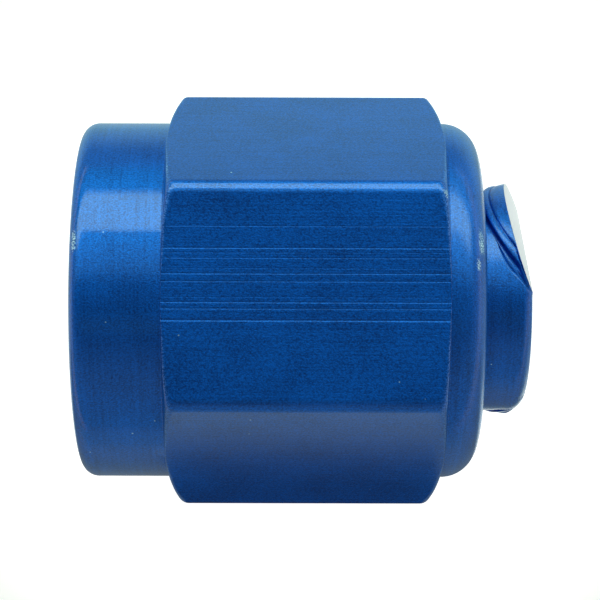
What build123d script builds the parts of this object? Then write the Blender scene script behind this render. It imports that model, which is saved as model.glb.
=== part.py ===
from build123d import *
from math import radians, sin, sqrt, tan
import os

# Threaded protection cap for a 37 degree flare fitting, in two turned pieces.
# The coupling nut carries the female thread and the hexagon. The sealing insert
# sits behind the thread with its conical seat facing the mouth. Its shank runs
# out through the back of the nut, where two stakes keep it in: it cannot be
# pulled out, and it turns freely.
#
# Frame: the thread axis lies along X with the open mouth towards -X. The cap
# lies on one flat of its hexagon, on z = 0, below the middle of its length.
# Azimuths are measured about the thread axis, from +Y towards +Z.

# ---------------------------------------------------------------- sizes, mm

# Coupling nut, outside
across_flats = 17.46
hex_length = 13.24
hex_corner_rounding = 0.55
hex_chamfer_angle = 25.5            # from the end plane
skirt_diameter = 17.27
skirt_length = 4.12
skirt_edge_rounding = 0.75
collar_diameter = 17.30
collar_length = 1.57
collar_edge_rounding = 1.44

# Coupling nut, inside (9/16-18 thread)
thread_major_diameter = 14.29
thread_pitch = 1.411
thread_length = 10.10
minor_diameter_factor = 0.9743      # thread form: major less this many pitches
mouth_relief = 0.15                 # mouth chamfer opens this far past the major radius
mouth_chamfer_angle = 45.0          # from the axis
chamber_relief = 0.15               # chamber wall stands this far past the major radius
chamber_length = 3.20
shoulder_half_angle = 33.0
bore_edge_chamfer = 0.20

# Sealing insert
shank_diameter = 10.76
stub_length = 2.46                  # how far the shank stands out of the nut
stub_edge_rounding = 0.75
head_length = 3.10
head_edge_chamfer = 0.25
seat_half_angle = 37.0
seat_rim_width = 0.45
seat_floor_diameter = 6.00
seat_recess_depth = 0.80
drill_point_angle = 118.0

# Stakes on the end of the shank
stake_azimuth = 33.3                # the second stake is opposite
stake_reach = 2.32                  # from the shank's wall in to the facet's inner edge
stake_slope = 24.8                  # facet, from the end plane
lip_shear_slope = 39.6              # where the lip tore from the shank, from the end plane
lip_shift = 0.17                    # how far the lip was pushed outwards
fold_width = 0.23                   # from the tear to the second fold, along the axis
fold_shear_slope = 45.0
fold_shift = 0.32                   # how far the part beyond the fold was pushed outwards

# Fits
shank_clearance = 0.08              # radial, between the shank and the bore
head_pass_clearance = 0.15          # radial, so that the head passes down the thread
shoulder_clearance = 0.10           # square to the two conical shoulders
lip_clearance = 0.12                # along the axis, between the lips and the nut

# ------------------------------------------------------- sizes that follow

nut_length = skirt_length + hex_length + collar_length
overall_length = nut_length + stub_length
axis_height = across_flats / 2
corner_radius = across_flats / sqrt(3)

thread_minor_diameter = thread_major_diameter - minor_diameter_factor * thread_pitch
mouth_radius = thread_major_diameter / 2 + mouth_relief
chamber_radius = thread_major_diameter / 2 + chamber_relief
bore_radius = shank_diameter / 2 + shank_clearance
head_radius = thread_minor_diameter / 2 - head_pass_clearance
seat_mouth_radius = head_radius - seat_rim_width

# Stations along the axis, from the mouth to the staked end
mouth_x = -overall_length / 2
hex_start_x = mouth_x + skirt_length
hex_end_x = hex_start_x + hex_length
nut_back_x = hex_end_x + collar_length
insert_end_x = nut_back_x + stub_length


def cone_run(from_radius, to_radius, half_angle):
    """Length along the axis in which a cone goes from one radius to the other."""
    return abs(from_radius - to_radius) / tan(radians(half_angle))


thread_start_x = mouth_x + cone_run(mouth_radius, thread_minor_diameter / 2, mouth_chamfer_angle)
thread_end_x = thread_start_x + thread_length
chamber_end_x = thread_end_x + chamber_length
bore_start_x = chamber_end_x + cone_run(chamber_radius, bore_radius, shoulder_half_angle)

# The insert's shoulder is the nut's own cone, moved forwards by the clearance
shoulder_step = shoulder_clearance / sin(radians(shoulder_half_angle))
shank_start_x = bore_start_x - shoulder_step + cone_run(bore_radius, shank_diameter / 2, shoulder_half_angle)
head_back_x = shank_start_x - cone_run(head_radius, shank_diameter / 2, shoulder_half_angle)
head_front_x = head_back_x - head_length
seat_floor_x = head_front_x + cone_run(seat_mouth_radius, seat_floor_diameter / 2, seat_half_angle)
recess_floor_x = seat_floor_x + seat_recess_depth
drill_tip_x = recess_floor_x + cone_run(seat_floor_diameter / 2, 0, drill_point_angle / 2)

# Stakes
facet_chord = shank_diameter / 2 - stake_reach
lip_root_x = nut_back_x + lip_clearance
fold_root_x = lip_root_x + fold_width


# ---------------------------------------------------------------- helpers

def turned(*corners, rounded=()):
    """Solid of revolution about X, from (x, radius) corners. rounded holds
    pairs of a corner's place in the list and the radius that it gets."""
    profile = make_face(Polyline(*corners, close=True))
    for place, radius in rounded:
        corner = profile.vertices().sort_by_distance(Vector(*corners[place]))[0]
        profile = fillet(corner, radius)
    return revolve(profile, Axis.X, 360)


def beyond(x, radius, slope):
    """All that lies on the far side of a plane square to the XY plane, which
    passes through (x, radius) and leans back from the end plane by slope."""
    lean = Plane(origin=(x, radius, 0), x_dir=(0, 0, 1), z_dir=Vector(1, 0, 0).rotate(Axis.Z, slope))
    size = 2 * overall_length
    return lean * Box(size, size, size, align=(Align.CENTER, Align.CENTER, Align.MIN))


# ------------------------------------------------------------ coupling nut

def hexagon():
    """Hexagonal bar with rounded corners, chamfered at both ends."""
    section = Plane.YZ.offset(hex_start_x) * RegularPolygon(across_flats / 2, 6, major_radius=False)
    section = fillet(section.vertices(), hex_corner_rounding)
    bar = extrude(section, hex_length)
    chamfer_run = (corner_radius - across_flats / 2) * tan(radians(hex_chamfer_angle))
    turned_ends = turned(
        (hex_start_x, 0),
        (hex_start_x, across_flats / 2),
        (hex_start_x + chamfer_run, corner_radius),
        (hex_end_x - chamfer_run, corner_radius),
        (hex_end_x, across_flats / 2),
        (hex_end_x, 0),
    )
    return bar & turned_ends


def skirt():
    """Round skirt around the mouth."""
    return turned(
        (mouth_x, 0),
        (mouth_x, skirt_diameter / 2),
        (hex_start_x, skirt_diameter / 2),
        (hex_start_x, 0),
        rounded=[(1, skirt_edge_rounding)],
    )


def collar():
    """Round collar behind the hexagon, with a full outer edge."""
    return turned(
        (hex_end_x, 0),
        (hex_end_x, collar_diameter / 2),
        (nut_back_x, collar_diameter / 2),
        (nut_back_x, 0),
        rounded=[(2, collar_edge_rounding)],
    )


def nut_cavity():
    """What is bored out of the nut: mouth, thread, chamber, shoulder, bore."""
    minor_radius = thread_minor_diameter / 2
    return turned(
        (mouth_x, 0),
        (mouth_x, mouth_radius),
        (thread_start_x, minor_radius),
        (thread_end_x, minor_radius),
        (thread_end_x, chamber_radius),
        (chamber_end_x, chamber_radius),
        (bore_start_x, bore_radius),
        (nut_back_x - bore_edge_chamfer, bore_radius),
        (nut_back_x, bore_radius + bore_edge_chamfer),
        (nut_back_x, 0),
    )


def coupling_nut():
    """Skirt, hexagon and collar turned from one bar, and bored through."""
    return skirt() + hexagon() + collar() - nut_cavity()


# ---------------------------------------------------------- sealing insert

def insert_blank():
    """Head, conical shoulder and shank, with the blind seat in the head."""
    outside = turned(
        (head_front_x, 0),
        (head_front_x, head_radius - head_edge_chamfer),
        (head_front_x + head_edge_chamfer, head_radius),
        (head_back_x, head_radius),
        (shank_start_x, shank_diameter / 2),
        (insert_end_x, shank_diameter / 2),
        (insert_end_x, 0),
        rounded=[(5, stub_edge_rounding)],
    )
    seat = turned(
        (head_front_x, 0),
        (head_front_x, seat_mouth_radius),
        (seat_floor_x, seat_floor_diameter / 2),
        (recess_floor_x, seat_floor_diameter / 2),
        (drill_tip_x, 0),
    )
    return outside - seat


def stub():
    """The part of the shank that stands out of the nut."""
    return turned(
        (nut_back_x, 0),
        (nut_back_x, shank_diameter / 2),
        (insert_end_x, shank_diameter / 2),
        (insert_end_x, 0),
        rounded=[(2, stub_edge_rounding)],
    )


def pushed_lip(root_x, slope, shift):
    """The stub pushed outwards along Y, but only beyond the tear that starts
    at root_x. It overhangs the bore, so the insert can't come out."""
    return (Pos(0, shift, 0) * stub()) & beyond(root_x, shank_diameter / 2 + shift, slope)


def sealing_insert():
    """The insert, staked at two opposite places on its end."""
    insert = insert_blank()
    lips = pushed_lip(lip_root_x, lip_shear_slope, lip_shift)
    lips += pushed_lip(fold_root_x, fold_shear_slope, fold_shift)
    facet_cut = beyond(insert_end_x, facet_chord, stake_slope)
    for azimuth in (stake_azimuth, stake_azimuth + 180):
        insert += Rot(azimuth, 0, 0) * lips
        insert -= Rot(azimuth, 0, 0) * facet_cut
    return insert


# ------------------------------------------------------------------ export

pieces = {"coupling_nut": coupling_nut(), "sealing_insert": sealing_insert()}

os.makedirs("parts", exist_ok=True)
for name, piece in pieces.items():
    export_step(Pos(0, 0, axis_height) * piece, f"parts/{name}.step")
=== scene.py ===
"""Dressed model of a threaded protection cap for a flared tube fitting.

The cap is a blue anodised coupling nut with a cut internal thread, and a
sealing insert that turns in the nut's back. The insert's end is staked in two
places, where the torn metal stands proud and the facets are bare. Every length
in the classes is in millimetres, about the thread axis, and the meshes are made
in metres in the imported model's own frame.
"""
import logging
import math
from dataclasses import dataclass
from enum import Enum
from functools import partial
from typing import Any

import bmesh  # noqa: E402
import bpy  # noqa: E402
import numpy as np  # noqa: E402
from mathutils import Matrix, Vector  # noqa: E402


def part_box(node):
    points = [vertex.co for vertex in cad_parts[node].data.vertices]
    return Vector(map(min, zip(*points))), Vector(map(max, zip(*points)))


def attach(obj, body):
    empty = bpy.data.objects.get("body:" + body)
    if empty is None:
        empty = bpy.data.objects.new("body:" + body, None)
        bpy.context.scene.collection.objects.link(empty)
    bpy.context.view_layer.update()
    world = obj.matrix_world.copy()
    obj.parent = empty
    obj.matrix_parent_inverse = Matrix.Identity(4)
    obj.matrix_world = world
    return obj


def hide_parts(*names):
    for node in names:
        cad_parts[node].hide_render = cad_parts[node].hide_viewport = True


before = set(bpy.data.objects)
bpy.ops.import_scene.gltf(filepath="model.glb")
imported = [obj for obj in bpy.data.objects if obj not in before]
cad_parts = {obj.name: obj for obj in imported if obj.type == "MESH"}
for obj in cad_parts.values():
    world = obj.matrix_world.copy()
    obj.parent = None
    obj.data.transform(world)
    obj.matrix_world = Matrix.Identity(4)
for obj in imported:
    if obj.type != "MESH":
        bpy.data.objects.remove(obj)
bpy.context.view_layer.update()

MM = 0.001
LOG = logging.getLogger("protection_cap")
Socket = bpy.types.NodeSocket
Triple = tuple[float, float, float]
Glow = tuple[float, Triple]


class Body(Enum):
    """The moving bodies that pieces ride on."""

    NUT = "nut"
    INSERT = "insert"


class Node(Enum):
    """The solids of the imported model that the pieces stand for."""

    NUT = "coupling_nut"
    INSERT = "sealing_insert"


class Slot(Enum):
    """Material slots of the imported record."""

    NUT = "nut_anodising"
    INSERT = "insert_anodising"


class Mark(Enum):
    """Point attributes that the meshes carry and the finishes read."""

    WORN = "worn"
    TURNED = "turned"
    THREADED = "threaded"
    DULLED = "dulled"


# ------------------------------------------------------------------ helpers


def linear(hex_colour: str) -> tuple[float, float, float, float]:
    """Turns an sRGB hex colour into Blender's linear colour.

    Args:
        hex_colour: Six hex digits, with or without a leading "#".

    Returns:
        Linear red, green, blue and an alpha of 1.
    """
    digits = hex_colour.lstrip("#")
    shares = [int(digits[i : i + 2], 16) / 255 for i in (0, 2, 4)]
    channels = [c / 12.92 if c <= 0.04045 else ((c + 0.055) / 1.055) ** 2.4 for c in shares]
    return channels[0], channels[1], channels[2], 1.0


def add_node(
    tree: bpy.types.NodeTree, kind: str, inputs: dict[Any, Any] | None = None, **settings: Any
) -> bpy.types.Node:
    """Adds one node with its settings and inputs.

    Args:
        tree: The tree that gets the node.
        kind: Blender's type name for the node.
        inputs: By an input's name or place, its value or the socket that feeds it.
        **settings: Properties of the node.

    Returns:
        The new node.
    """
    made = tree.nodes.new(kind)
    for name, value in settings.items():
        setattr(made, name, value)
    for name, value in (inputs or {}).items():
        if isinstance(value, Socket):
            tree.links.new(value, made.inputs[name])
        else:
            made.inputs[name].default_value = value
    return made


def calculate(tree: bpy.types.NodeTree, operation: str, *terms: Any, **settings: Any) -> Socket:
    """Adds a Math node for numbers or sockets, and gives its result."""
    inputs = dict(enumerate(terms))
    return add_node(tree, "ShaderNodeMath", inputs, operation=operation, **settings).outputs[0]


def smooth_step(low: float, high: float, value: np.ndarray) -> np.ndarray:
    """Runs from 0 at low to 1 at high with level ends."""
    share = np.clip((value - low) / (high - low), 0.0, 1.0)
    return share * share * (3 - 2 * share)


# ------------------------------------------------------- lengthwise outlines


@dataclass(frozen=True)
class Corner:
    """One corner of a lengthwise section.

    Where a field may be an array, it holds one value an azimuth.

    Attributes:
        x: Station along the axis, or an array.
        r: Distance from the axis, or an array.
        rounding: Radius of the edge break, or an array; 0 for a plain point.
        steps: How many faces the edge break has.
        share: The most of either adjoining edge that the edge break may take up.
        worn: How far the dye has rubbed off the edge, 0 to 1, or an array.
        turned: 1 where a lathe tool left rings, 0 where the bar's own surface is.
    """

    x: Any
    r: Any
    rounding: Any = 0.0
    steps: int = 4
    share: float = 0.45
    worn: Any = 0.0
    turned: float = 1.0


@dataclass(frozen=True)
class Scuff:
    """A small place where handling has rubbed off the dye.

    Attributes:
        x: Station of its middle.
        azimuth: Azimuth of its middle, in degrees.
        width: Half its length along the axis.
        half_angle: Half its length round the axis, in degrees.
        least_radius: Surfaces nearer the axis than this are left alone.
    """

    x: float
    azimuth: float
    width: float
    half_angle: float
    least_radius: float


class Section:
    """Rows of mesh points, each with a station and a radius at every azimuth."""

    # Rows beside an edge break: how far off, in mm and as a share of the face.
    SUPPORT = 0.02
    SUPPORT_SHARE = 0.04
    # How narrow the worn crest of an edge break is, and how bare a scuff gets.
    CREST = 2.6
    SCUFF_DEPTH = 1.8

    def __init__(self, azimuths: np.ndarray, dulled_from: float) -> None:
        """Starts an empty section.

        Args:
            azimuths: Angles about the axis, from +Y towards +Z, in radians.
            dulled_from: Station behind which tumbling has dulled the sheen.
        """
        self.azimuths = azimuths
        self.dulled_from = dulled_from
        self.x: list[np.ndarray] = []
        self.r: list[np.ndarray] = []
        self.marks: dict[Mark, list[np.ndarray]] = {mark: [] for mark in Mark}

    def add_row(
        self, x: Any, r: Any, worn: Any = 0.0, turned: float = 1.0, threaded: float = 0.0
    ) -> None:
        """Adds one row of points with its marks.

        Args:
            x: Station, or one an azimuth.
            r: Radius, or one an azimuth.
            worn: Wear of the row.
            turned: Whether the row is on a turned surface.
            threaded: Whether the thread is cut through the row.
        """
        level = np.zeros(len(self.azimuths))
        self.x.append(level + x)
        self.r.append(level + r)
        self.marks[Mark.WORN].append(level + worn)
        self.marks[Mark.TURNED].append(level + turned)
        self.marks[Mark.THREADED].append(level + threaded)
        self.marks[Mark.DULLED].append(np.where(level + x > self.dulled_from, 1.0, 0.0))

    def scuff(self, mark: Scuff) -> None:
        """Rubs the dye off one small place.

        Args:
            mark: The place and its reach.
        """
        x = np.array(self.x)
        turn = np.degrees(self.azimuths) - mark.azimuth
        turn = (turn + 180.0) % 360.0 - 180.0
        reach = np.hypot((x - mark.x) / mark.width, turn[None, :] / mark.half_angle)
        outside = np.array(self.r) > mark.least_radius
        rubbed = np.where(outside, self.SCUFF_DEPTH * (1.0 - smooth_step(0.6, 1.2, reach)), 0.0)
        for row, share in zip(self.marks[Mark.WORN], rubbed):
            np.maximum(row, share, out=row)

    def add_corners(self, corners: list[Corner], closed: bool) -> None:
        """Adds the rows of a run of corners, with a true arc at each rounded one.

        An arc never takes more than its share of the two edges that it joins, and
        a row on either side of it keeps the shading of long faces flat.

        Args:
            corners: The corners in order.
            closed: Whether the last corner joins the first.
        """
        level = np.zeros(len(self.azimuths))
        points = [np.stack([level + corner.x, level + corner.r]) for corner in corners]
        for place, here in enumerate(corners):
            ends = not closed and place in (0, len(corners) - 1)
            if ends or not np.any(here.rounding):
                self.add_row(here.x, here.r, here.worn, here.turned)
                continue
            before = corners[place - 1]
            point = points[place]
            back = points[place - 1] - point
            ahead = points[(place + 1) % len(corners)] - point
            back_length = np.maximum(np.hypot(*back), 1e-9)
            ahead_length = np.maximum(np.hypot(*ahead), 1e-9)
            back /= back_length
            ahead /= ahead_length
            half = 0.5 * np.arccos(np.clip((back * ahead).sum(0), -1, 1))
            tangent = here.rounding / np.tan(half)
            tangent = np.minimum(tangent, here.share * np.minimum(back_length, ahead_length))
            weight = np.sin(half)
            first = point + back * tangent
            last = point + ahead * tangent
            off_lead = np.minimum(self.SUPPORT, self.SUPPORT_SHARE * back_length)
            off_trail = np.minimum(self.SUPPORT, self.SUPPORT_SHARE * ahead_length)
            lead = point + back * (tangent + off_lead)
            trail = point + ahead * (tangent + off_trail)
            self.add_row(*lead, turned=here.turned if np.any(before.rounding) else before.turned)
            for step in range(here.steps + 1):
                s = step / here.steps
                parts = ((1 - s) ** 2, 2 * s * (1 - s) * weight, s**2)
                arc = (parts[0] * first + parts[1] * point + parts[2] * last) / sum(parts)
                crest = max(0.0, 1.0 - (self.CREST * (s - 0.5)) ** 2)
                self.add_row(*arc, worn=here.worn * crest, turned=here.turned)
            self.add_row(*trail, turned=here.turned)

    def mesh(
        self, name: str, axis_height: float, closed: bool, bare_rows: np.ndarray | None = None
    ) -> bpy.types.Mesh:
        """Joins the rows into a closed mesh with outward faces.

        Args:
            name: Name of the mesh.
            axis_height: Height of the thread axis over the floor, in mm.
            closed: Whether the last row joins the first; otherwise both are poles.
            bare_rows: For each row gap and azimuth, whether the face is bare metal.

        Returns:
            The mesh, in metres.
        """
        x = np.array(self.x)
        r = np.array(self.r)
        y = r * np.cos(self.azimuths)
        z = axis_height + r * np.sin(self.azimuths)
        mesh = new_mesh(name, np.stack([x, y, z], axis=-1), grid_faces(*x.shape, closed))
        for mark, values in self.marks.items():
            layer = mesh.attributes.new(mark.value, "FLOAT", "POINT")
            layer.data.foreach_set("value", np.array(values, np.float32).ravel())
        if bare_rows is not None:
            mesh.polygons.foreach_set("material_index", bare_rows.astype(np.int32).ravel())
        close_poles(mesh)
        mesh.polygons.foreach_set("use_smooth", np.ones(len(mesh.polygons), bool))
        mesh.update()
        return mesh


def grid_faces(rows: int, columns: int, closed: bool) -> np.ndarray:
    """Joins rows of points, each closed on itself, into four-sided faces.

    Args:
        rows: How many rows there are.
        columns: How many points a row has.
        closed: Whether the last row joins the first.

    Returns:
        The numbers of each face's points.
    """
    here = np.arange(rows if closed else rows - 1)[:, None] * columns
    below = (here + columns) % (rows * columns)
    column = np.arange(columns)[None, :]
    beside = (column + 1) % columns
    corners = [here + column, here + beside, below + beside, below + column]
    return np.stack(corners, axis=-1).reshape(-1, 4)


def new_mesh(name: str, points: Any, faces: Any) -> bpy.types.Mesh:
    """Makes a mesh.

    Args:
        name: Its name.
        points: Its points, in mm.
        faces: The numbers of each face's points.

    Returns:
        The mesh, in metres.
    """
    mesh = bpy.data.meshes.new(name)
    mesh.from_pydata((np.reshape(points, (-1, 3)) * MM).tolist(), [], np.asarray(faces).tolist())
    return mesh


def close_poles(mesh: bpy.types.Mesh) -> None:
    """Merges the points that meet on the axis and drops faces without area.

    Args:
        mesh: The mesh, whose faces are turned outwards if need be.
    """
    work = bmesh.new()
    work.from_mesh(mesh)
    bmesh.ops.remove_doubles(work, verts=work.verts, dist=1e-8)
    bmesh.ops.dissolve_degenerate(work, dist=1e-8, edges=work.edges)
    if work.calc_volume(signed=True) < 0:
        bmesh.ops.reverse_faces(work, faces=work.faces)
    work.to_mesh(mesh)
    work.free()


def show(mesh: bpy.types.Mesh) -> bpy.types.Object:
    """Puts a mesh in the scene, at the origin.

    Args:
        mesh: The mesh.

    Returns:
        The object that shows it.
    """
    made = bpy.data.objects.new(mesh.name, mesh)
    bpy.context.scene.collection.objects.link(made)
    return made


def hand_over(piece: bpy.types.Object, body: Body, node: Node) -> None:
    """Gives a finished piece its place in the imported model.

    Args:
        piece: The piece.
        body: The body that it rides on.
        node: The solid that it replaces.
    """
    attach(piece, body.value)
    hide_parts(node.value)
    mesh = piece.data
    LOG.info("%s: %d points, %d faces", piece.name, len(mesh.vertices), len(mesh.polygons))


# ----------------------------------------------------------------- finishes


class Shading:
    """One material's nodes, with short ways to add what the materials share."""

    def __init__(self, name: str) -> None:
        """Starts a material without nodes.

        Args:
            name: Name of the material.
        """
        self.material = bpy.data.materials.new(name)
        self.material.use_nodes = True
        self.tree = self.material.node_tree
        self.tree.nodes.clear()

    def place(self) -> Socket:
        """Gives the Object coordinates."""
        return add_node(self.tree, "ShaderNodeTexCoord").outputs["Object"]

    def mark(self, mark: Mark) -> Socket:
        """Reads one of the marks that the mesh carries."""
        return add_node(self.tree, "ShaderNodeAttribute", attribute_name=mark.value).outputs["Fac"]

    def stretched(self, place: Socket, by: Triple) -> Socket:
        """Multiplies a place by three factors."""
        inputs = {0: place, 1: by}
        return add_node(self.tree, "ShaderNodeVectorMath", inputs, operation="MULTIPLY").outputs[0]

    def noise(self, place: Socket, size_mm: float, detail: float, roughness: float = 0.5) -> Socket:
        """Adds noise with features about size_mm wide."""
        inputs = {"Vector": place, "Scale": 1 / (size_mm * MM), "Detail": detail, "Roughness": roughness}
        return add_node(self.tree, "ShaderNodeTexNoise", inputs).outputs["Fac"]

    def added(self, value: Socket, weight: Any, rest: Any, **settings: Any) -> Socket:
        """Weighs a value and adds it to the rest."""
        return calculate(self.tree, "MULTIPLY_ADD", value, weight, rest, **settings)

    def ranged(
        self, value: Socket, low: float, high: float, first: float = 0.0, last: float = 1.0, **settings: Any
    ) -> Socket:
        """Maps a value from low and high to first and last, and holds it between them."""
        inputs = {0: value, 1: low, 2: high, 3: first, 4: last}
        return add_node(self.tree, "ShaderNodeMapRange", inputs, **settings).outputs[0]

    def blend(self, share: Socket, low: Any, high: Any) -> Socket:
        """Mixes two colours."""
        return add_node(
            self.tree, "ShaderNodeMix", {0: share, 6: low, 7: high}, data_type="RGBA"
        ).outputs[2]

    def bump(self, height: Socket, depth_mm: float, strength: float = 1.0) -> Socket:
        """Turns a height into a normal."""
        inputs = {"Height": height, "Strength": strength, "Distance": depth_mm * MM}
        return add_node(self.tree, "ShaderNodeBump", inputs).outputs["Normal"]

    def shaded(self, kind: str, inputs: dict[str, Any]) -> bpy.types.Material:
        """Ends the tree in one shader.

        Args:
            kind: Blender's type name for the shader.
            inputs: The shader's inputs, as for add_node.

        Returns:
            The finished material.
        """
        shader = add_node(self.tree, kind, inputs).outputs[0]
        add_node(self.tree, "ShaderNodeOutputMaterial", {"Surface": shader})
        return self.material


@dataclass(frozen=True)
class DyedAnodising:
    """Blue dyed anodised aluminium.

    The bar is etched to a satin grain before it is dyed, so the metal below the
    dye scatters broadly, and the clear oxide on top gives a second, sharper
    sheen that washes out the blue near the outline. Ranges run from what gives
    nothing to what gives all.
    """

    name: str = "dyed_anodised_aluminium"
    dye: str = "#0a6cda"
    deep_dye: str = "#023a88"
    grazing_tint: str = "#50dccd"
    thin_dye: str = "#e6f1fb"
    metal_roughness: float = 0.39
    roughness_spread: float = 0.10
    oxide_weight: float = 0.8
    oxide_roughness: float = 0.07
    dulled_roughness: float = 0.22
    oxide_ior: float = 1.6
    # The real grain is about 0.02 mm. It is three times as coarse here, so that
    # it still shows as a fine speckle.
    grain_mm: float = 0.065
    grain_stretch: Triple = (0.75, 1.0, 1.0)
    streak_mm: float = 0.07
    streak_stretch: Triple = (0.012, 1.0, 1.0)
    ring_mm: float = 0.12
    ring_stretch: Triple = (1.0, 0.02, 0.02)
    cloud_mm: float = 2.6
    chip_mm: float = 1.1
    relief_mm: float = 0.016
    marks_relief: float = 0.45
    oxide_relief: float = 0.15
    cloud_tone: float = 0.22
    marks_tone: float = 0.24
    tone_range: tuple[float, float] = (0.55, 0.86)
    dash_range: tuple[float, float] = (0.47, 0.58)
    speck_range: tuple[float, float] = (0.045, 0.025)
    rarity_range: tuple[float, float] = (0.55, 0.95)

    def make(self) -> bpy.types.Material:
        """Builds the material.

        Returns:
            The material, which reads Object coordinates and the mesh's marks.
        """
        shading = Shading(self.name)
        tree = shading.tree
        place = shading.place()
        # Etched grain, streaks that the drawing die left along the bar, and rings
        # that the lathe tool left across the turned parts.
        grain = shading.noise(shading.stretched(place, self.grain_stretch), self.grain_mm, 3.0, 0.65)
        streaks = shading.noise(shading.stretched(place, self.streak_stretch), self.streak_mm, 2.0, 0.7)
        rings = shading.noise(shading.stretched(place, self.ring_stretch), self.ring_mm, 2.0, 0.6)
        inputs = {0: shading.mark(Mark.TURNED), 2: streaks, 3: rings}
        marks = add_node(tree, "ShaderNodeMix", inputs, data_type="FLOAT").outputs[0]
        clouds = shading.noise(place, self.cloud_mm, 3.0)
        height = shading.added(marks, self.marks_relief, grain)
        tone = shading.added(clouds, self.cloud_tone, grain)
        tone = shading.added(marks, self.marks_tone, tone)
        tone = shading.ranged(tone, *self.tone_range)
        dyed = shading.blend(tone, linear(self.deep_dye), linear(self.dye))
        # The dye rubs off sharp edges in short dashes, and here and there handling
        # has chipped out a speck of it.
        dashes = shading.ranged(grain, *self.dash_range)
        rubbed = calculate(tree, "MULTIPLY", dashes, shading.mark(Mark.WORN))
        inputs = {"Vector": place, "Scale": 1 / (self.chip_mm * MM)}
        cells = add_node(tree, "ShaderNodeTexVoronoi", inputs).outputs
        speck = shading.ranged(cells["Distance"], *self.speck_range)
        rarity = add_node(tree, "ShaderNodeSeparateColor", {0: cells["Color"]}).outputs[0]
        rarity = shading.ranged(rarity, *self.rarity_range)
        rubbed = shading.added(speck, rarity, rubbed, use_clamp=True)
        dulled = shading.mark(Mark.DULLED)
        return shading.shaded("ShaderNodeBsdfPrincipled", {
            "Base Color": shading.blend(rubbed, dyed, linear(self.thin_dye)),
            "Metallic": 1.0,
            "Roughness": shading.added(clouds, self.roughness_spread, self.metal_roughness),
            "Specular Tint": linear(self.grazing_tint),
            "Normal": shading.bump(height, self.relief_mm),
            "Coat Weight": self.oxide_weight,
            "Coat Roughness": shading.ranged(
                dulled, 0.0, 1.0, self.oxide_roughness, self.dulled_roughness
            ),
            "Coat IOR": self.oxide_ior,
            "Coat Normal": shading.bump(height, self.relief_mm, self.oxide_relief),
        })


@dataclass(frozen=True)
class StakedMetal:
    """Bare aluminium where the staking punch pressed the end flat.

    The punch smears the metal after dyeing, so it is pale, nearly matt and
    crossed by fine drag lines.
    """

    name: str = "bare_staked_aluminium"
    metal: str = "#d4d1d5"
    roughness: float = 0.34
    roughness_spread: float = 0.16
    drag_line_mm: float = 0.06
    drag_stretch: Triple = (1.0, 0.15, 1.0)
    relief_mm: float = 0.003

    def make(self) -> bpy.types.Material:
        """Builds the material.

        Returns:
            The material, which reads Object coordinates.
        """
        shading = Shading(self.name)
        dragged = shading.stretched(shading.place(), self.drag_stretch)
        lines = shading.noise(dragged, self.drag_line_mm, 3.0)
        return shading.shaded("ShaderNodeBsdfPrincipled", {
            "Base Color": linear(self.metal),
            "Metallic": 1.0,
            "Roughness": shading.added(lines, self.roughness_spread, self.roughness),
            "Normal": shading.bump(lines, self.relief_mm),
        })


# ------------------------------------------------------------- coupling nut


@dataclass(frozen=True)
class DieLine:
    """A fine line that the drawing die left along one flat.

    Attributes:
        offset: Place across the flat, positive towards higher azimuths.
        width: Width of the line.
        depth: Depth of the line.
    """

    offset: float
    width: float
    depth: float


@dataclass(frozen=True)
class BarCorner:
    """One corner of the hexagonal bar.

    Attributes:
        rounding: Radius of the corner.
        land: How far its crest is worn back to a narrow land.
        end_angle: Slope of the chamfers on its two ends, from the end plane.
        tip: Radius where the chamfers run out on the corner.
    """

    rounding: float
    land: float
    end_angle: float
    tip: float

    def arc(self, inscribed: float) -> tuple[float, float, float]:
        """Places the arc that joins the land to a flat.

        Args:
            inscribed: Distance of the flats from the axis.

        Returns:
            Distance of the land from the axis, and the arc's centre, out along the
            corner's direction and aside from it.
        """
        lean = math.cos(math.radians(30.0))
        centre = (inscribed - self.rounding) / lean - self.land
        return centre + self.rounding, centre, 2.0 * self.land * lean

    def spans(self, inscribed: float) -> tuple[float, float]:
        """Tells how far round the land and the arc reach.

        Args:
            inscribed: Distance of the flats from the axis.

        Returns:
            Half-angles of the land's end and of the arc's end, in degrees.
        """
        crest, centre, aside = self.arc(inscribed)
        half = math.radians(30.0)
        out = centre + self.rounding * math.cos(half)
        across = aside + self.rounding * math.sin(half)
        return math.degrees(math.atan2(aside, crest)), math.degrees(math.atan2(across, out))


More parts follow.
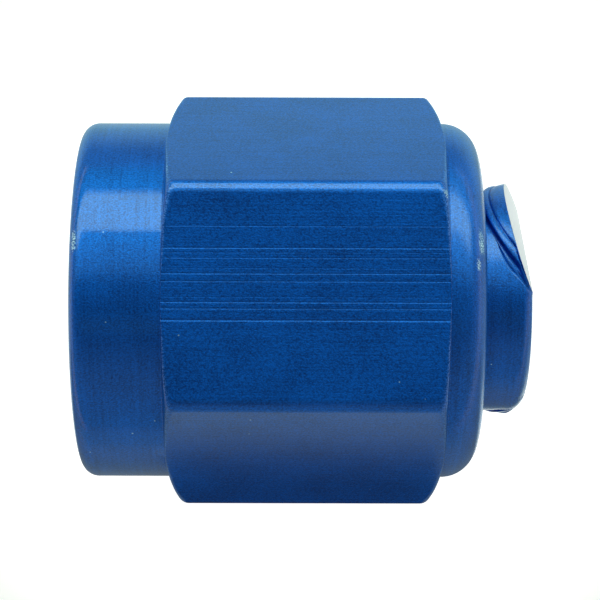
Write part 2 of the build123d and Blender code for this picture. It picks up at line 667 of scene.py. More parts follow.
@dataclass(frozen=True)
class ThreadCutter:
    """Geometry Nodes tree that cuts a right-hand thread into the blank's wall.

    The 60 degree form has a crest a quarter of the pitch wide and a root an
    eighth of the pitch wide. The crest's end and the flank's width are given in
    half pitches, out from the middle of the root.
    """

    pitch: float
    major_radius: float
    minor_radius: float
    start: float
    crest_end: float = 0.75
    flank_width: float = 0.625
    name: str = "cut_internal_thread"

    def tree(self) -> bpy.types.GeometryNodeTree:
        """Builds the node tree with named inputs for the thread's sizes.

        Returns:
            The tree.
        """
        tree = bpy.data.node_groups.new(self.name, "GeometryNodeTree")
        tree.is_modifier = True
        face = tree.interface
        face.new_socket("Geometry", in_out="OUTPUT", socket_type="NodeSocketGeometry")
        face.new_socket("Geometry", in_out="INPUT", socket_type="NodeSocketGeometry")
        for label in ("Pitch", "Major Radius", "Minor Radius", "Start", "Axis Height"):
            face.new_socket(label, in_out="INPUT", socket_type="NodeSocketFloat")
        face.new_socket("Finish", in_out="INPUT", socket_type="NodeSocketMaterial")
        given = add_node(tree, "NodeGroupInput").outputs
        work = partial(calculate, tree)
        place = add_node(tree, "GeometryNodeInputPosition").outputs[0]
        parts = add_node(tree, "ShaderNodeSeparateXYZ", {0: place}).outputs
        rise = work("SUBTRACT", parts[2], given["Axis Height"])
        radius = work("SQRT", work("MULTIPLY_ADD", parts[1], parts[1], work("MULTIPLY", rise, rise)))
        turn = work("DIVIDE", work("ARCTAN2", rise, parts[1]), math.tau)
        advance = work("DIVIDE", work("SUBTRACT", parts[0], given["Start"]), given["Pitch"])
        phase = work("FRACT", work("SUBTRACT", advance, turn))
        from_root = work("ABSOLUTE", work("MULTIPLY_ADD", phase, 2.0, -1.0))
        flank = work("DIVIDE", work("SUBTRACT", self.crest_end, from_root), self.flank_width)
        share = work("MINIMUM", work("MAXIMUM", flank, 0.0), 1.0)
        depth = work("SUBTRACT", given["Major Radius"], given["Minor Radius"])
        cut = work("MAXIMUM", radius, work("MULTIPLY_ADD", share, depth, given["Minor Radius"]))
        growth = work("DIVIDE", cut, radius)
        y = work("MULTIPLY", parts[1], growth)
        z = work("MULTIPLY_ADD", rise, growth, given["Axis Height"])
        moved = add_node(tree, "ShaderNodeCombineXYZ", {0: parts[0], 1: y, 2: z}).outputs[0]
        marked = add_node(
            tree, "GeometryNodeInputNamedAttribute", {"Name": Mark.THREADED.value}, data_type="FLOAT"
        ).outputs["Attribute"]
        chosen = work("GREATER_THAN", marked, 0.5)
        inputs = {"Geometry": given["Geometry"], "Selection": chosen, "Position": moved}
        shaped = add_node(tree, "GeometryNodeSetPosition", inputs).outputs[0]
        real = add_node(tree, "GeometryNodeRealizeInstances", {0: shaped}).outputs[0]
        inputs = {"Geometry": real, "Material": given["Finish"]}
        dressed = add_node(tree, "GeometryNodeSetMaterial", inputs).outputs[0]
        add_node(tree, "NodeGroupOutput", {0: dressed})
        return tree

    def cut(self, blank: bpy.types.Object, axis_height: float, finish: bpy.types.Material) -> None:
        """Cuts the thread and leaves the blank with a plain mesh.

        Args:
            blank: The nut before threading.
            axis_height: Height of the thread axis, in mm.
            finish: The nut's material.
        """
        tree = self.tree()
        modifier = blank.modifiers.new(self.name, "NODES")
        modifier.node_group = tree
        sizes = {
            "Pitch": self.pitch * MM,
            "Major Radius": self.major_radius * MM,
            "Minor Radius": self.minor_radius * MM,
            "Start": self.start * MM,
            "Axis Height": axis_height * MM,
            "Finish": finish,
        }
        for item in tree.interface.items_tree:
            if item.in_out == "INPUT" and item.name in sizes:
                modifier[item.identifier] = sizes[item.name]
        bpy.context.view_layer.update()
        shaped = blank.evaluated_get(bpy.context.evaluated_depsgraph_get())
        mesh = bpy.data.meshes.new_from_object(shaped)
        blank.modifiers.remove(modifier)
        blank.data = mesh
        mesh.name = blank.name


@dataclass
class CouplingNut:
    """The nut: round skirt, hexagon, round collar, internal thread and rear bore."""

    axis_height: float
    mouth_x: float
    back_x: float
    across_flats: float = 17.46
    hex_length: float = 13.07
    skirt_diameter: float = 17.27
    skirt_length: float = 4.21
    skirt_rounding: float = 0.75
    collar_diameter: float = 17.30
    collar_rounding: float = 1.65
    collar_crown: float = 0.12
    thread_major: float = 14.29
    thread_minor: float = 12.915
    thread_pitch: float = 1.411
    thread_length: float = 10.10
    mouth_relief: float = 0.15
    chamber_length: float = 3.20
    shoulder_angle: float = 33.0
    bore_diameter: float = 10.92
    bore_chamfer: float = 0.20
    flat_margin: float = 0.03
    edge_break: float = 0.16
    tip_spread: float = 5.0
    flat_wear: float = 0.16
    tip_wear: float = 0.06
    foot_wear: float = 0.4
    mouth_wear: float = 0.5
    rows_per_pitch: int = 14
    column_step: float = 2.0
    line_seed: int = 7
    # The corners at azimuth 0, 60, 120 and so on. The upper two have had their
    # chamfers dressed back.
    bar_corners: tuple[BarCorner, ...] = (
        BarCorner(0.60, 0.0, 24.0, 0.30),
        BarCorner(0.55, 0.04, 9.0, 0.50),
        BarCorner(0.70, 0.0, 9.0, 0.45),
        BarCorner(0.65, 0.0, 23.0, 0.50),
        BarCorner(0.65, 0.02, 16.0, 0.45),
        BarCorner(0.65, 0.02, 16.0, 0.45),
    )
    scuffs: tuple[Scuff, ...] = (
        Scuff(8.03, 72.3, 0.09, 4.4, 7.5),
        Scuff(7.90, 80.0, 0.06, 1.8, 7.5),
        Scuff(7.90, 252.0, 0.10, 4.0, 7.5),
        Scuff(-10.45, 73.0, 0.09, 3.4, 7.9),
        Scuff(-10.40, 296.0, 0.10, 5.0, 7.9),
        Scuff(-6.28, 52.0, 0.10, 1.0, 8.6),
        Scuff(6.36, 61.5, 0.08, 0.9, 8.6),
    )
    near_lines: tuple[DieLine, ...] = (
        DieLine(-3.13, 0.035, 0.006),
        DieLine(-2.15, 0.045, 0.014),
        DieLine(-1.70, 0.035, 0.007),
        DieLine(-1.00, 0.045, 0.012),
        DieLine(-0.65, 0.040, 0.009),
        DieLine(0.29, 0.045, 0.014),
        DieLine(0.58, 0.040, 0.010),
        DieLine(1.10, 0.060, 0.022),
    )

    def lines(self) -> dict[int, list[DieLine]]:
        """Gives every flat its die lines.

        Returns:
            The lines by flat, numbered by the flat's azimuth: 0 at 30 degrees, 1 at 90.
        """
        random = np.random.default_rng(self.line_seed)
        found: dict[int, list[DieLine]] = {1: list(self.near_lines)}
        for offset in random.uniform(-3.2, 1.0, 10):
            if min(abs(offset - line.offset) for line in found[1]) > 0.14:
                found[1].append(DieLine(float(offset), 0.03, 0.004))
        for flat in (0, 2, 3, 4, 5):
            offsets = np.linspace(-3.6, 3.6, 4) + random.uniform(-0.6, 0.6, 4)
            depth = 0.0012 if flat in (0, 2) else 0.005
            found[flat] = [DieLine(float(v), 0.035, depth) for v in offsets[:3]]
        return found

    def azimuths(self) -> np.ndarray:
        """Places the mesh columns: close at the hexagon's corners and die lines.

        Returns:
            Azimuths in radians, rising.
        """
        inscribed = self.across_flats / 2
        fixed: list[float] = []
        for flat in range(6):
            middle = 30.0 + 60.0 * flat
            for line in self.lines()[flat]:
                for share in (-1.4, -1.0, -0.35, 0.35, 1.0, 1.4):
                    across = line.offset + share * line.width
                    fixed.append(middle + math.degrees(math.atan2(across, inscribed)))
        for number, corner in enumerate(self.bar_corners):
            land, arc = corner.spans(inscribed)
            for side in (-1, 1):
                fixed.append(60.0 * number + side * (arc + 0.12))
                for share in (0.0, 0.25, 0.5, 0.75, 1.0):
                    fixed.append(60.0 * number + side * (land + share * (arc - land)))
            fixed.append(60.0 * number)
        fixed_places = np.unique(np.round(np.mod(fixed, 360.0), 4))
        plain = np.arange(0.0, 360.0, self.column_step) + 0.5 * self.column_step
        apart = np.abs(plain[:, None] - fixed_places[None, :])
        apart = np.minimum(apart, 360.0 - apart).min(1)
        kept = plain[apart > 0.3 * self.column_step]
        return np.radians(np.sort(np.concatenate([fixed_places, kept])))

    def hexagon(self, azimuths: np.ndarray) -> np.ndarray:
        """Works out how far the hexagon's surface is from the axis.

        Args:
            azimuths: Azimuths in radians.

        Returns:
            Radii with rounded corners and die lines.
        """
        inscribed = self.across_flats / 2
        flat = np.floor(np.degrees(azimuths) / 60.0).astype(int) % 6
        off_middle = np.degrees(azimuths) - (30.0 + 60.0 * flat)
        off_middle = (off_middle + 180.0) % 360.0 - 180.0
        across = inscribed * np.tan(np.radians(off_middle))
        sunk = np.zeros_like(azimuths)
        for number, lines in self.lines().items():
            for line in lines:
                share = np.abs(across - line.offset) / line.width
                shape = np.interp(share, [0.0, 0.35, 1.0], [1.0, 1.0, 0.0])
                sunk = np.maximum(sunk, np.where(flat == number, line.depth * shape, 0.0))
        surface = (inscribed - sunk) / np.cos(np.radians(off_middle))
        nearest = np.round(np.degrees(azimuths) / 60.0).astype(int) % 6
        turn = 30.0 - np.abs(off_middle)
        ahead = np.cos(np.radians(turn))
        for number, corner in enumerate(self.bar_corners):
            crest, centre, aside = corner.arc(inscribed)
            land, arc = corner.spans(inscribed)
            along = centre * ahead + aside * np.sin(np.radians(turn))
            inside = np.maximum(along**2 - centre**2 - aside**2 + corner.rounding**2, 0.0)
            here = nearest == number
            surface = np.where(here & (turn < arc), along + np.sqrt(inside), surface)
            surface = np.where(here & (turn < land), crest / ahead, surface)
        return surface

    def section(self) -> Section:
        """Draws the nut's closed section at every azimuth.

        Returns:
            The section, with the thread's wall still plain.
        """
        hex_start = self.mouth_x + self.skirt_length
        hex_end = hex_start + self.hex_length
        section = Section(self.azimuths(), dulled_from=hex_end + 0.01)
        surface = self.hexagon(section.azimuths)
        inscribed = self.across_flats / 2 - self.flat_margin
        degrees = np.degrees(section.azimuths)
        angles = [bar_corner.end_angle for bar_corner in self.bar_corners]
        angle = np.interp(degrees, np.arange(0.0, 360.0, 60.0), angles, period=360.0)
        back = self.back_x + self.collar_crown
        run = (surface - inscribed) * np.tan(np.radians(angle))
        minor = self.thread_minor / 2
        mouth = self.thread_major / 2 + self.mouth_relief
        bore = self.bore_diameter / 2
        thread_start = self.mouth_x + mouth - minor
        thread_end = thread_start + self.thread_length
        chamber_end = thread_end + self.chamber_length
        bore_start = chamber_end + (mouth - bore) / math.tan(math.radians(self.shoulder_angle))
        skirt = self.skirt_diameter / 2
        collar = self.collar_diameter / 2
        from_corner = np.abs((degrees + 30.0) % 60.0 - 30.0)
        nearness = np.exp(-((from_corner / self.tip_spread) ** 2))
        tips = np.array([c.tip for c in self.bar_corners])[np.round(degrees / 60.0).astype(int) % 6]
        edge = self.edge_break + (tips - self.edge_break) * nearness
        wear = self.flat_wear + (self.tip_wear - self.flat_wear) * nearness
        root = {"rounding": 0.03, "steps": 2}
        foot = {"rounding": 0.05, "steps": 3, "worn": self.foot_wear}
        chamfer = {"rounding": edge, "steps": 6, "worn": wear, "turned": 0.0}
        bore_edge = {"rounding": 0.04, "steps": 3}
        corners = [
            Corner(self.mouth_x, mouth, rounding=0.05, steps=3, worn=self.mouth_wear),
            Corner(self.mouth_x, skirt, rounding=self.skirt_rounding, steps=12, share=0.75),
            Corner(hex_start, skirt, **root),
            Corner(hex_start, inscribed, **foot),
            Corner(hex_start + run, surface, **chamfer),
            Corner(hex_end - run, surface, **chamfer),
            Corner(hex_end, inscribed, **foot),
            Corner(hex_end, collar, **root),
            Corner(back, collar, rounding=self.collar_rounding, steps=16, share=0.94),
            Corner(back, bore + self.bore_chamfer, **bore_edge),
            Corner(back - self.bore_chamfer, bore, **bore_edge),
            Corner(bore_start, bore, rounding=0.10, steps=3),
            Corner(chamber_end, mouth, rounding=0.25, steps=4),
            Corner(thread_end, mouth, rounding=0.05, steps=2),
        ]
        section.add_corners(corners, closed=True)
        for mark in self.scuffs:
            section.scuff(mark)
        rows = round(self.thread_length / self.thread_pitch * self.rows_per_pitch)
        for station in np.linspace(thread_end, thread_start, rows):
            section.add_row(station, minor, threaded=1.0)
        for grown in np.linspace(0.0, mouth - minor, 9)[1:-1]:
            section.add_row(thread_start - grown, minor + grown, threaded=1.0)
        return section

    def build(self, finish: bpy.types.Material) -> bpy.types.Object:
        """Turns the blank, cuts its thread and hands the piece over.

        Args:
            finish: The nut's material.

        Returns:
            The finished piece.
        """
        piece = show(self.section().mesh("coupling_nut_dressed", self.axis_height, closed=True))
        cutter = ThreadCutter(
            self.thread_pitch, self.thread_major / 2, self.thread_minor / 2, self.mouth_x
        )
        cutter.cut(piece, self.axis_height, finish)
        piece.data.materials.clear()
        piece.data.materials.append(finish)
        hand_over(piece, Body.NUT, Node.NUT)
        return piece


# ----------------------------------------------------------- sealing insert


@dataclass(frozen=True)
class Stake:
    """One staked place on the end of the shank.

    Attributes:
        azimuth: Where the punch struck, in degrees.
        pushed: How far the torn metal stands out of the shank.
        torn: Depth of the open tear.
        spread: How far round the tear reaches on each side, in degrees.
    """

    azimuth: float
    pushed: float
    torn: float
    spread: float


@dataclass
class SealingInsert:
    """The insert: head with a conical seat, shoulder, shank and staked end."""

    axis_height: float
    nut_back_x: float
    end_x: float
    shank_diameter: float = 10.76
    end_rounding: float = 0.75
    head_diameter: float = 12.615
    head_front_x: float = 1.679
    head_length: float = 3.10
    head_chamfer: float = 0.25
    shank_start_x: float = 6.208
    seat_angle: float = 37.0
    seat_rim: float = 0.45
    seat_floor_diameter: float = 6.00
    recess_depth: float = 0.80
    drill_angle: float = 118.0
    facet_chord: float = 2.88
    facet_slope: float = 21.5
    facet_samples: int = 900
    tear_x: float = 8.417
    tear_rise: float = 6.4
    fold_x: float = 8.814
    fold_rise: float = 6.82
    row_step: float = 0.012
    columns: int = 432
    stakes: tuple[Stake, ...] = (Stake(33.3, 0.38, 0.22, 57.0), Stake(213.3, 0.22, 0.10, 44.0))

    def front(self) -> list[Corner]:
        """Lists the corners from the drill point to the shank.

        Returns:
            The corners in order.
        """
        head = self.head_diameter / 2
        mouth = head - self.seat_rim
        floor = self.seat_floor_diameter / 2
        seat_floor = self.head_front_x + (mouth - floor) / math.tan(math.radians(self.seat_angle))
        recess = seat_floor + self.recess_depth
        tip = recess + floor / math.tan(math.radians(self.drill_angle / 2))
        back = self.head_front_x + self.head_length
        return [
            Corner(tip, 0.0),
            Corner(recess, floor, rounding=0.06, steps=3),
            Corner(seat_floor, floor, rounding=0.05, steps=3),
            Corner(self.head_front_x, mouth, rounding=0.05, steps=3),
            Corner(self.head_front_x, head - self.head_chamfer, rounding=0.04, steps=2),
            Corner(self.head_front_x + self.head_chamfer, head, rounding=0.04, steps=2),
            Corner(back, head, rounding=0.08, steps=3),
            Corner(self.shank_start_x, self.shank_diameter / 2, rounding=0.2, steps=4),
            Corner(self.nut_back_x - 0.6, self.shank_diameter / 2),
        ]

    @property
    def bend(self) -> float:
        """Gives the station where the stub's side turns into its rounded edge."""
        return self.end_x - self.end_rounding

    @property
    def limit(self) -> float:
        """Gives the way along the side where the rounded edge meets the end face."""
        return self.bend + self.end_rounding * math.pi / 2

    def wall(self, travel: np.ndarray, out: np.ndarray) -> tuple[np.ndarray, np.ndarray]:
        """Finds a point on the stub's side and round its end.

        Args:
            travel: Way along the side, which goes on round the rounded edge.
            out: How far the point stands out of the surface.

        Returns:
            Station and radius.
        """
        angle = np.clip((travel - self.bend) / self.end_rounding, 0.0, math.pi / 2)
        reach = self.end_rounding + out
        x = np.minimum(np.minimum(travel, self.bend) + reach * np.sin(angle), self.end_x)
        r = self.shank_diameter / 2 - self.end_rounding + reach * np.cos(angle)
        return x, r

    def swell(self, degrees: np.ndarray) -> tuple[np.ndarray, np.ndarray, np.ndarray]:
        """Works out what the stakes have done to the shank's side.

        Args:
            degrees: Azimuths in degrees.

        Returns:
            Angle from the nearest stake, how far its metal is pushed out, and how
            deep its tear is.
        """
        pushed = np.zeros(self.columns)
        torn = np.zeros(self.columns)
        aside = np.full(self.columns, 90.0)
        for stake in self.stakes:
            angle = (degrees - stake.azimuth + 180.0) % 360.0 - 180.0
            away = np.abs(angle)
            near = away < 90.0
            aside = np.where(near, angle, aside)
            fade = 1.0 - smooth_step(0.58 * stake.spread, stake.spread, away)
            lean = np.sqrt(np.maximum(np.cos(np.radians(angle)), 0.0))
            pushed = np.where(near, stake.pushed * fade * lean, pushed)
            closing = smooth_step(0.74 * stake.spread, 0.95 * stake.spread, away)
            torn = np.where(near, stake.torn * (1.0 - closing), torn)
        return aside, pushed, torn

    def facet(self, aside: np.ndarray, pushed: np.ndarray) -> tuple[np.ndarray, ...]:
        """Finds where the facet starts on the side and where it ends.

        Args:
            aside: Angle from the nearest stake.
            pushed: How far the side is pushed out.

        Returns:
            Way along the side at the facet's start and at its end, whether there is
            a facet, and whether it runs on across the end face.
        """
        slope = math.tan(math.radians(self.facet_slope))
        samples = np.linspace(self.nut_back_x + 0.6, self.limit, self.facet_samples)
        path_x, path_r = self.wall(samples[:, None], pushed[None, :])
        inwards = path_r * np.cos(np.radians(aside)) - self.facet_chord
        over = path_x + inwards * slope - self.end_x
        above = over > 0
        cut = above.any(0)
        crest = over.argmax(0)
        last_sample = len(samples) - 1
        first = np.where(cut, above.argmax(0), crest)
        last = np.where(cut, last_sample - above[::-1].argmax(0), crest)
        return samples[first], samples[last], cut, cut & (last == last_sample)

    def add_tear(
        self, section: Section, aside: np.ndarray, pushed: np.ndarray, torn: np.ndarray, start: np.ndarray
    ) -> None:
        """Adds the stub's side with its tears and folds.

        Args:
            section: The section that gets the rows.
            aside: Angle from the nearest stake.
            pushed: How far the side is pushed out.
            torn: How deep the tear is.
            start: Way along the side where the facet starts.
        """
        turn = 1.0 - np.cos(np.radians(aside))
        away = np.abs(aside)
        high = self.tear_x + self.tear_rise * turn
        low = high - 0.07 - 0.45 * smooth_step(24.0, 43.0, away)
        fold = self.fold_x + self.fold_rise * turn
        folded = 0.05 * (1.0 - smooth_step(24.0, 34.0, away)) * (pushed > 0)
        level = np.zeros(self.columns)
        # Way along the side, and how far out: plain shank, tear, lip, second fold.
        rows = [
            (np.minimum(low - 0.07 + 0.01 * number, self.bend + beyond), level)
            for number, beyond in enumerate((-0.08, -0.01, 0.08, 0.18, 0.28, 0.38))
        ]
        rows += [
            (low - 0.01, level),
            (low + 0.01, -0.6 * torn),
            (low + 0.03, -1.0 * torn),
            (0.65 * low + 0.35 * high, -0.66 * torn),
            (0.3 * low + 0.7 * high, -0.36 * torn),
            (high + 0.02, -0.7 * torn),
        ]
        overhanging = (len(rows), len(rows) + 1)
        rows += [
            (high + 0.03, 0.2 * pushed),
            (high + 0.035, 0.45 * pushed),
            (high + 0.06, 0.58 * pushed),
            (high + 0.12, 0.68 * pushed),
            (fold - 0.05, 0.76 * pushed),
            (fold - 0.015, 0.72 * pushed - 0.3 * folded),
            (fold, 0.72 * pushed - folded),
            (fold + 0.02, 0.78 * pushed),
            (fold + 0.06, 0.84 * pushed),
            (0.5 * (fold + start), 0.95 * pushed),
            (start - 0.02, pushed),
        ]
        # The rows stop short of the facet and keep their order, save at the overhang.
        travel = np.array([row[0] for row in rows])
        for place in range(len(rows)):
            room = self.row_step * (len(rows) - 1 - place) + 0.008
            travel[place] = np.minimum(travel[place], start - room)
        for place in range(1, len(rows)):
            least = -0.05 if place in overhanging else 0.002
            travel[place] = np.maximum(travel[place], travel[place - 1] + least)
        for way, row in zip(travel, rows):
            section.add_row(*self.wall(way, row[1]))

    def build(self, dyed: bpy.types.Material, bare: bpy.types.Material) -> bpy.types.Object:
        """Builds the insert with its torn lips and bare facets.

        Args:
            dyed: The anodised finish.
            bare: The finish of the facets.

        Returns:
            The finished piece.
        """
        azimuths = np.arange(self.columns) * math.tau / self.columns
        section = Section(azimuths, dulled_from=self.nut_back_x - 0.7)
        section.add_corners(self.front(), closed=False)
        aside, pushed, torn = self.swell(np.degrees(azimuths))
        start, stop, cut, on_face = self.facet(aside, pushed)
        self.add_tear(section, aside, pushed, torn, start)

        edge_x, edge_r = self.wall(start, pushed)
        inner_x, inner_r = self.wall(stop, pushed * (~on_face))
        cosine = np.maximum(np.cos(np.radians(aside)), 0.2)
        inner_r = np.where(on_face, self.facet_chord / cosine, inner_r)
        inner_x = np.where(on_face, self.end_x, inner_x)
        facet_from = len(section.x)
        for share in (0.0, 0.02, 0.25, 0.5, 0.75, 0.98, 1.0):
            section.add_row(edge_x + share * (inner_x - edge_x), edge_r + share * (inner_r - edge_r))
        facet_to = len(section.x) - 1
        for step in range(1, 6):
            x, r = self.wall(stop + (self.limit - stop) * step / 5, np.zeros(self.columns))
            x = np.where(on_face, self.end_x, x)
            section.add_row(x, np.where(on_face, inner_r - 0.004 * step, r))
        rim = section.r[-1]
        for share in (0.97, 0.7, 0.45, 0.2, 0.0):
            section.add_row(self.end_x, rim * share)

        bare_faces = np.zeros((len(section.x) - 1, self.columns), bool)
        wide = cut & (np.hypot(edge_x - inner_x, edge_r - inner_r) > 0.05)
        bare_faces[facet_from:facet_to, :] = wide[None, :]
        piece = show(section.mesh("sealing_insert_dressed", self.axis_height, False, bare_faces))
        piece.data.materials.append(dyed)
        piece.data.materials.append(bare)
        hand_over(piece, Body.INSERT, Node.INSERT)
        return piece


# ------------------------------------------------------------------- studio


@dataclass
class Studio:
    """White floor, one long softbox, a soft surround and the camera."""

    axis_height: float
    floor_half: float = 900.0
    fibre_mm: float = 6.0
    # Painted light on the floor: emission strongest within glow_inner of the cap, down to far_glow by
    # glow_outer, which washes out the cap's cast shadow.
    glow: float = 0.70
    far_glow: float = 0.05
    glow_inner: float = 15.5
    glow_outer: float = 28.0
    box_distance: float = 300.0
    box_low: float = 19.8
    box_high: float = 47.6
    box_length: float = 900.0
    box_radiance: float = 2.4
    box_tint: Triple = (0.85, 1.12, 0.70)
    surround_strength: float = 0.6
    shell_radius: float = 600.0
    near_card: tuple[Glow, ...] = (
        (-590.0, (0.25, 0.40, 0.39)),
        (-90.0, (0.31, 0.50, 0.47)),
        (-50.0, (0.33, 0.50, 0.48)),
        (-36.0, (0.40, 0.53, 0.50)),
        (-28.0, (0.38, 0.47, 0.45)),
        (-20.0, (0.30, 0.36, 0.36)),
        (-13.0, (0.25, 0.28, 0.29)),
        (-9.0, (0.22, 0.24, 0.25)),
    )
    contact_card: tuple[Glow, ...] = (
        (-44.0, (0.37, 0.53, 0.50)),
        (-39.0, (0.44, 0.58, 0.56)),
        (-34.0, (0.62, 0.86, 0.86)),
        (-31.0, (0.58, 0.74, 0.73)),
        (-29.5, (0.46, 0.55, 0.53)),
        (-27.5, (0.14, 0.14, 0.13)),
        (-25.0, (0.05, 0.03, 0.02)),
        (-10.5, (0.04, 0.02, 0.01)),
    )
    far_card: tuple[Glow, ...] = (
        (9.0, (0.47, 0.62, 0.62)),
        (12.0, (0.49, 0.70, 0.74)),
        (16.0, (0.47, 0.82, 0.92)),
        (24.0, (0.47, 0.84, 0.95)),
        (28.0, (0.40, 0.72, 0.82)),
        (35.0, (0.30, 0.55, 0.63)),
        (50.0, (0.23, 0.40, 0.46)),
        (590.0, (0.21, 0.40, 0.45)),
    )
    end_card: tuple[Glow, ...] = (
        (-12.0, (0.44, 0.62, 0.66)),
        (12.0, (0.44, 0.64, 0.70)),
    )
    tent: tuple[Glow, ...] = (
        (-180.0, (0.18, 0.38, 0.42)),
        (-95.0, (0.20, 0.41, 0.44)),
        (-55.0, (0.22, 0.41, 0.43)),
        (-25.0, (0.07, 0.14, 0.15)),
        (-18.0, (0.10, 0.26, 0.29)),
        (-12.5, (0.07, 0.18, 0.21)),
        (-7.0, (0.045, 0.12, 0.14)),
        (0.0, (0.06, 0.15, 0.17)),
        (7.0, (0.06, 0.17, 0.19)),
        (12.5, (0.12, 0.32, 0.37)),
        (18.0, (0.26, 0.67, 0.76)),
        (30.0, (0.31, 0.76, 0.86)),
        (70.0, (0.20, 0.54, 0.60)),
        (90.0, (0.16, 0.54, 0.62)),
        (180.0, (0.20, 0.54, 0.60)),
    )
    tent_ends: Triple = (0.20, 0.34, 0.42)
    end_zone: tuple[float, float] = (0.88, 0.985)
    camera_distance: float = 97.5
    camera_aim: tuple[float, float] = (-0.185, 0.0)
    camera_turn: float = 91.2
    camera_yaw: float = 0.2
    camera_roll: float = 0.17
    focal_length: float = 118.95

    def floor(self) -> None:
        """Lays the matt white card that the cap rests on, with a painted pool of light round the cap that
        washes out its shadow.
        """
        half = self.floor_half
        corners = [(-half, -half, 0.0), (half, -half, 0.0), (half, half, 0.0), (-half, half, 0.0)]
        floor = show(new_mesh("studio_floor", corners, [(0, 1, 2, 3)]))
        shading = Shading("white_matt_card")
        place = shading.place()
        fibre = shading.noise(place, self.fibre_mm, 4.0)
        reach = add_node(shading.tree, "ShaderNodeVectorMath", {0: place}, operation="LENGTH")
        near, far = self.glow_inner * MM, self.glow_outer * MM
        # Painted pool of light: the floor glows round the cap and hides its cast shadow.
        glow = shading.ranged(
            reach.outputs["Value"], near, far, self.glow, self.far_glow, interpolation_type="SMOOTHSTEP"
        )
        floor.data.materials.append(shading.shaded("ShaderNodeBsdfPrincipled", {
            "Base Color": shading.blend(fibre, linear("#efefef"), linear("#f4f4f4")),
            "Roughness": 0.9,
            "Specular IOR Level": 0.1,
            "Emission Color": (1.0, 1.0, 1.0, 1.0),
            "Emission Strength": glow,
        }))

    def softbox(self) -> None:
        """Hangs the long softbox on the +Y side."""
        middle = math.radians((self.box_low + self.box_high) / 2)
        half = math.radians((self.box_high - self.box_low) / 2)
        height = 2 * self.box_distance * math.tan(half) * MM
        length = self.box_length * MM
        light = bpy.data.lights.new("softbox", "AREA")
        light.shape = "RECTANGLE"
        light.size = length
        light.size_y = height
        light.energy = self.box_radiance * math.pi * length * height
        light.color = self.box_tint
        lamp = bpy.data.objects.new("softbox", light)
        away = Vector((0.0, math.cos(middle), math.sin(middle)))
        lamp.location = away * self.box_distance * MM + Vector((0.0, 0.0, self.axis_height * MM))
        lamp.rotation_euler = away.to_track_quat("Z", "Y").to_euler()
        lamp.visible_camera = False
        bpy.context.scene.collection.objects.link(lamp)

    def reflected(self, mesh: bpy.types.Mesh, round_x: bool, glows: tuple[Glow, ...]) -> None:
        """Shows a glowing card or shell that only reflections see.

        Towards the two ends of the thread axis the light turns paler.

        Args:
            mesh: The card or shell.
            round_x: Whether the places run round the X axis, by degrees from
                straight up towards +Y, and not along Y in mm.
            glows: Places and the light's colour there, in order of place.
        """
        card = show(mesh)
        shading = Shading(mesh.name)
        tree = shading.tree
        parts = add_node(tree, "ShaderNodeSeparateXYZ", {0: shading.place()}).outputs
        place, unit = parts[1], MM
        if round_x:
            place, unit = calculate(tree, "ARCTAN2", parts[1], parts[2]), math.pi / 180.0
        first, last = glows[0][0], glows[-1][0]
        share = shading.ranged(place, first * unit, last * unit)
        ramp = add_node(tree, "ShaderNodeValToRGB", {0: share})
        stops = ramp.color_ramp.elements
        stops.remove(stops[1])
        for number, (where, light) in enumerate(glows):
            stop = stops[0] if number == 0 else stops.new((where - first) / (last - first))
            stop.color = (*light, 1.0)
        near, far = [share * self.shell_radius * MM for share in self.end_zone]
        ends = shading.ranged(
            calculate(tree, "ABSOLUTE", parts[0]), near, far, interpolation_type="SMOOTHSTEP"
        )
        colour = shading.blend(ends, ramp.outputs[0], (*self.tent_ends, 1.0))
        mesh.materials.append(shading.shaded("ShaderNodeEmission", {"Color": colour}))
        card.visible_camera = False
        card.visible_diffuse = False
        card.visible_shadow = False

    def cards(self) -> None:
        """Lays cards on both sides that show only in reflections.

        Those on the -Y side are dark, as in the cap's own shade, and keep the
        lower flats and the underside of the round parts deep.
        """
        sides = (
            ("shade_card", self.near_card, -60.0, 60.0, 0.0, 0.2),
            ("contact_shade_card", self.contact_card, -9.4, 9.4, 2.6, 0.3),
            ("bounce_card", self.far_card, -60.0, 60.0, 0.0, 0.2),
            ("end_card", self.end_card, 21.0, 60.0, 0.0, 0.2),
        )
        for name, glows, left, right, taper, height in sides:
            low, high = glows[0][0], glows[-1][0]
            corners = [
                (left, low, height),
                (right, low, height),
                (right - taper, high, height),
                (left + taper, high, height),
            ]
            self.reflected(new_mesh(name, corners, [(0, 1, 2, 3)]), False, glows)

    def shell(self) -> None:
        """Stands a large half dome over the cap that shows only in reflections."""
        rings, columns = 24, 64
        up = np.radians(np.linspace(0.0, 90.0, rings + 1))[:, None]
        around = np.arange(columns) * math.tau / columns
        parts = [np.cos(up) * np.cos(around), np.cos(up) * np.sin(around), np.sin(up) + 0.0 * around]
        points = self.shell_radius * np.stack(parts, axis=-1)
        mesh = new_mesh("soft_dome", points, grid_faces(rings + 1, columns, False))
        self.reflected(mesh, True, self.tent)

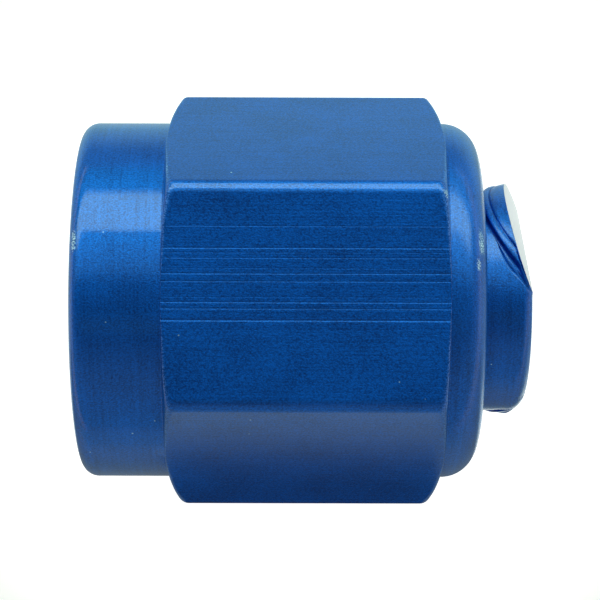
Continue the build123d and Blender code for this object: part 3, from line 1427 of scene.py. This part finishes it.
    def surround(self) -> None:
        """Sets the even, neutral light that falls on the floor."""
        world = bpy.data.worlds.new("tent")
        world.use_nodes = True
        tree = world.node_tree
        tree.nodes.clear()
        inputs = {"Color": (1.0, 1.0, 1.0, 1.0), "Strength": self.surround_strength}
        light = add_node(tree, "ShaderNodeBackground", inputs).outputs[0]
        add_node(tree, "ShaderNodeOutputWorld", {"Surface": light})
        bpy.context.scene.world = world

    def camera(self) -> None:
        """Sets the camera over the cap, a little off square."""
        turn = math.radians(self.camera_turn)
        yaw = math.radians(self.camera_yaw)
        away = Vector((-math.sin(yaw), math.cos(yaw) * math.cos(turn), math.cos(yaw) * math.sin(turn)))
        right = Vector((1.0, 0.0, 0.0))
        right = (right - away * right.dot(away)).normalized()
        up = away.cross(right)
        right = Matrix.Rotation(math.radians(self.camera_roll), 3, away) @ right
        up = away.cross(right)
        aim = Vector((self.camera_aim[0], self.camera_aim[1], self.axis_height)) * MM
        data = bpy.data.cameras.new("camera")
        data.lens = self.focal_length
        data.sensor_width = 36.0
        data.clip_start = 0.005
        data.clip_end = 10.0
        camera = bpy.data.objects.new("camera", data)
        turned = Matrix((right, up, away)).transposed().to_4x4()
        camera.matrix_world = Matrix.Translation(aim + away * self.camera_distance * MM) @ turned
        bpy.context.scene.collection.objects.link(camera)
        bpy.context.scene.camera = camera

    def build(self) -> None:
        """Builds the whole studio."""
        self.floor()
        self.softbox()
        self.cards()
        self.shell()
        self.surround()
        self.camera()
        bpy.context.scene.view_settings.view_transform = "Standard"


def main() -> None:
    """Builds the two pieces and the studio, sized from the two solids' boxes."""
    logging.basicConfig(level=logging.INFO, format="%(name)s: %(message)s")
    nut_low, nut_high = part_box(Node.NUT.value)
    insert_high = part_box(Node.INSERT.value)[1]
    axis_height = (nut_low.z + nut_high.z) / 2 / MM
    dyed = DyedAnodising().make()
    bare = StakedMetal().make()
    CouplingNut(axis_height, nut_low.x / MM, nut_high.x / MM).build(dyed)
    SealingInsert(axis_height, nut_high.x / MM, insert_high.x / MM).build(dyed, bare)
    Studio(axis_height).build()


if __name__ == "__main__":
    main()
